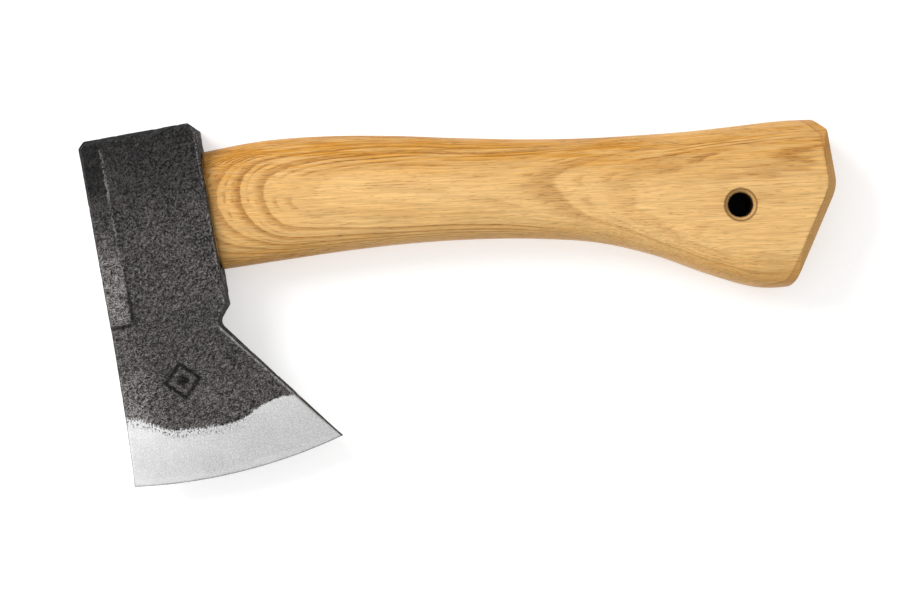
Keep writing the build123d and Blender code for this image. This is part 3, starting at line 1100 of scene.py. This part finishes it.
def store_head_fields(piece):
    """What the steel's material reads."""
    p = row_points(piece)
    x, y, z = p.T
    ground = ground_depth(x, y, 3)
    from_edge = edge_distance(x, y)
    lens = lens_height(from_edge)
    left = distance_to_path(x, y, LEFT_SIDE)
    right = distance_to_path(x, y, RIGHT_SIDE)
    beard = distance_to_path(x, y, RIGHT_SIDE[-2:])
    on_wall = np.minimum(left, right) < 0.16
    on_wall = on_wall & (np.abs(z) < np.maximum(lens - 0.35, 0.80 * lens)) & (from_edge > 0.3)
    ground = np.where(on_wall, -4.0, ground)
    chamfer, ridge = worn_and_highlit_edges(p, lens, right, beard)
    # The side walls get painted shade in place of the cheek's tone.
    wall_shade = np.where(beard < 0.2, BEARD_WALL_SHADE, WALL_SHADE)
    # Painted shade along the beard's outline.
    bevel_tone = curve(*columns_of(BEVEL_TONE_AND_LIGHT), x) * (1 - 0.92 * smooth(0.85, 0.35, beard))
    set_attributes(
        piece,
        ground=ground,
        along_edge=np.arctan2(x - EDGE_CENTRE[0], EDGE_CENTRE[1] - y) * EDGE_RADIUS,
        from_edge=from_edge,
        specks=smooth(4.5, 0.5, ground) * smooth(12, -30, x),
        # Edge wear, partly a painted highlight on the chamfer and the ridge.
        wear=chamfer * ~on_wall + ridge,
        wall=on_wall,
        scale_tone=np.where(on_wall, wall_shade, cheek_tone_and_shade(p, left)),
        hammered=2.6 + 1.8 * smooth(5, -25, y) + 1.2 * noise(p, 12.0, 35),
        # Painted shade: a dark line along the cutting edge and the far outline.
        bevel_tone=bevel_tone * (1 - 0.55 * smooth(0.6, 0.1, np.minimum(from_edge, left))),
    )


def across_handle(x, y):
    """Where a point is across the handle's side view, from -1 below to 1 above."""
    top, bottom, _, _ = handle_at(np.maximum(x, 0))
    return (2 * y - top - bottom) / (top - bottom)


def edge_darkening(x, y):
    """How much darker and more orange the wood is, towards both edges and by the head."""
    t = across_handle(x, y)
    upper = (0.55 + 0.30 * smooth(20, 50, x) * smooth(160, 130, x)) * smooth(0.0, 0.80, t)
    lower = 0.40 * smooth(0.55, 1.0, -t) * smooth(-5, 25, x)
    return upper + lower + 0.26 * smooth(50, 5, x) + 0.35 * smooth(28, 6, x) * smooth(0.55, 0.95, t)


def growth_rings(p, along):
    """Which growth ring each point is in, counted from the face's own."""
    x, y, z = p.T
    _, _, half, _ = handle_at(np.maximum(x, 0))
    deep = np.minimum(half, HALF_THICKNESS) - z
    near = np.minimum(deep, RING_EVEN)
    linear, squared = RING_GROWTH
    ring = curve(*columns_of(RING_TIPS), x)
    ring = ring - linear * near - squared * near**2 - (linear + 2 * squared * RING_EVEN) * (deep - near)
    bend = 0.15 + 1.1 * smooth(70, 25, x)
    apex = 0.18 * smooth(26, 12, x)
    ring = ring - bend * np.clip(across_handle(x, y) - apex, -1.2, 1.2) ** 2
    wander = 0.28 * noise(along / LONG_LUMP, 1.0, 21) + 0.10 * noise(along / SHORT_LUMP, 1.0, 22)
    return ring + wander * smooth(0.0, 1.6, deep + 0.8 * smooth(95, 125, x))


def store_handle_fields(piece):
    """What the wood's material reads."""
    p = row_points(piece)
    x, y, z = p.T
    turn = math.radians(GRAIN_ANGLE)
    along = np.stack([
        x * math.cos(turn) + y * math.sin(turn), y * math.cos(turn) - x * math.sin(turn), z,
    ], -1)
    set_attributes(
        piece,
        ring=growth_rings(p, along),
        figure=(0.8 + 0.2 * noise(along / LONG_LUMP, 1.3, 23)) * (1 - 0.56 * smooth(95, 120, x)),
        flank=edge_darkening(x, y),
        rim=np.where(x > BUTT_START_X, distance_to_path(x, y, BUTT_OUTLINE), 99),
    )


store_head_fields(head)
store_handle_fields(handle)
store_handle_fields(wedge)
head.data.materials.append(forged_steel())
handle.data.materials.append(handle_wood("oiled_handle_wood", True))
wedge.data.materials.append(handle_wood("split_wedge_wood", False))
ring.data.materials.append(ring_steel())

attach(head, "root")
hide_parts("axe_head")
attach(handle, "root")
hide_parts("handle")
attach(wedge, "root")
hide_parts("eye_wedge")
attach(ring, "root")
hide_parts("ring_wedge")


# --- The studio ---
def make_floor():
    """White paper that glows like a light table, but is painted black under the hanging hole, as a shadow
    seen through the hole, where it does not glow.
    """
    mesh = bpy.data.meshes.new("floor")
    r = FLOOR_REACH
    mesh.from_pydata([(-r, -r, 0), (r, -r, 0), (r, r, 0), (-r, r, 0)], [], [(0, 1, 2, 3)])
    floor = add_object("floor", mesh)
    paint = bpy.data.materials.new("floor_paper")
    paint.use_nodes = True
    tree = paint.node_tree
    shader = tree.nodes["Principled BSDF"]
    put(tree, shader, "Roughness", 0.9)
    put(tree, shader, "Emission Color", WHITE)
    place = add_node(tree, "TexCoord", {}, "Object")
    # Painted shadow: dark and unlit under the hanging hole.
    hole = ((HOLE[0] + DATUM[0]) * MM, (HOLE[1] + DATUM[1]) * MM, 0)
    away = add_node(tree, "VectorMath", {0: place, 1: hole}, "Value", operation="DISTANCE")
    fade = {"Value": away, "From Min": HOLE_SHADOW_RADIUS, "From Max": HOLE_SHADOW_FADE}
    glow = add_node(tree, "MapRange", {**fade, "To Max": FLOOR_GLOW}, "Result")
    tone = add_node(tree, "MapRange", {**fade, "To Min": HOLE_SHADOW_TONE, "To Max": FLOOR_TONE}, "Result")
    put(tree, shader, "Emission Strength", glow)
    put(tree, shader, "Base Color", tone)
    mesh.materials.append(paint)


def make_sky():
    """Light that falls off from overhead, a little to the upper left, down to the horizon."""
    world = bpy.data.worlds.new("studio")
    world.use_nodes = True
    tree = world.node_tree
    way = add_node(tree, "TexCoord", {}, "Generated")
    lean = add_node(tree, "VectorMath", {0: way, 1: SKY_LEAN}, "Value", operation="DOT_PRODUCT")
    strength = add_node(tree, "Math", {0: lean, 1: SKY_OVERHEAD, 2: SKY_HORIZON}, operation="MULTIPLY_ADD")
    put(tree, tree.nodes["Background"], "Strength", strength)
    put(tree, tree.nodes["Background"], "Color", WHITE)
    bpy.context.scene.world = world


def make_softbox():
    """One round lamp, at the upper left."""
    lamp = bpy.data.lights.new("softbox", "AREA")
    lamp.shape = "DISK"
    lamp.size = LAMP_SIZE
    lamp.energy = LAMP_POWER
    softbox = add_object("softbox", lamp)
    softbox.location = LAMP_PLACE
    aim = -softbox.location
    softbox.rotation_euler = aim.to_track_quat("-Z", "Y").to_euler()


def make_camera():
    """A camera that looks straight down."""
    data = bpy.data.cameras.new("camera")
    data.sensor_width = 36
    data.lens = data.sensor_width * CAMERA_HEIGHT / VIEW_WIDTH
    data.clip_start, data.clip_end = 0.01, 20
    camera = add_object("camera", data)
    over = np.array([*CAMERA_OVER, CAMERA_HEIGHT])
    camera.location = (over + DATUM) * MM
    camera.rotation_euler = (0, 0, -math.radians(CAMERA_TURN))
    bpy.context.scene.camera = camera


make_floor()
make_sky()
make_softbox()
make_camera()
bpy.context.scene.view_settings.view_transform = "Standard"
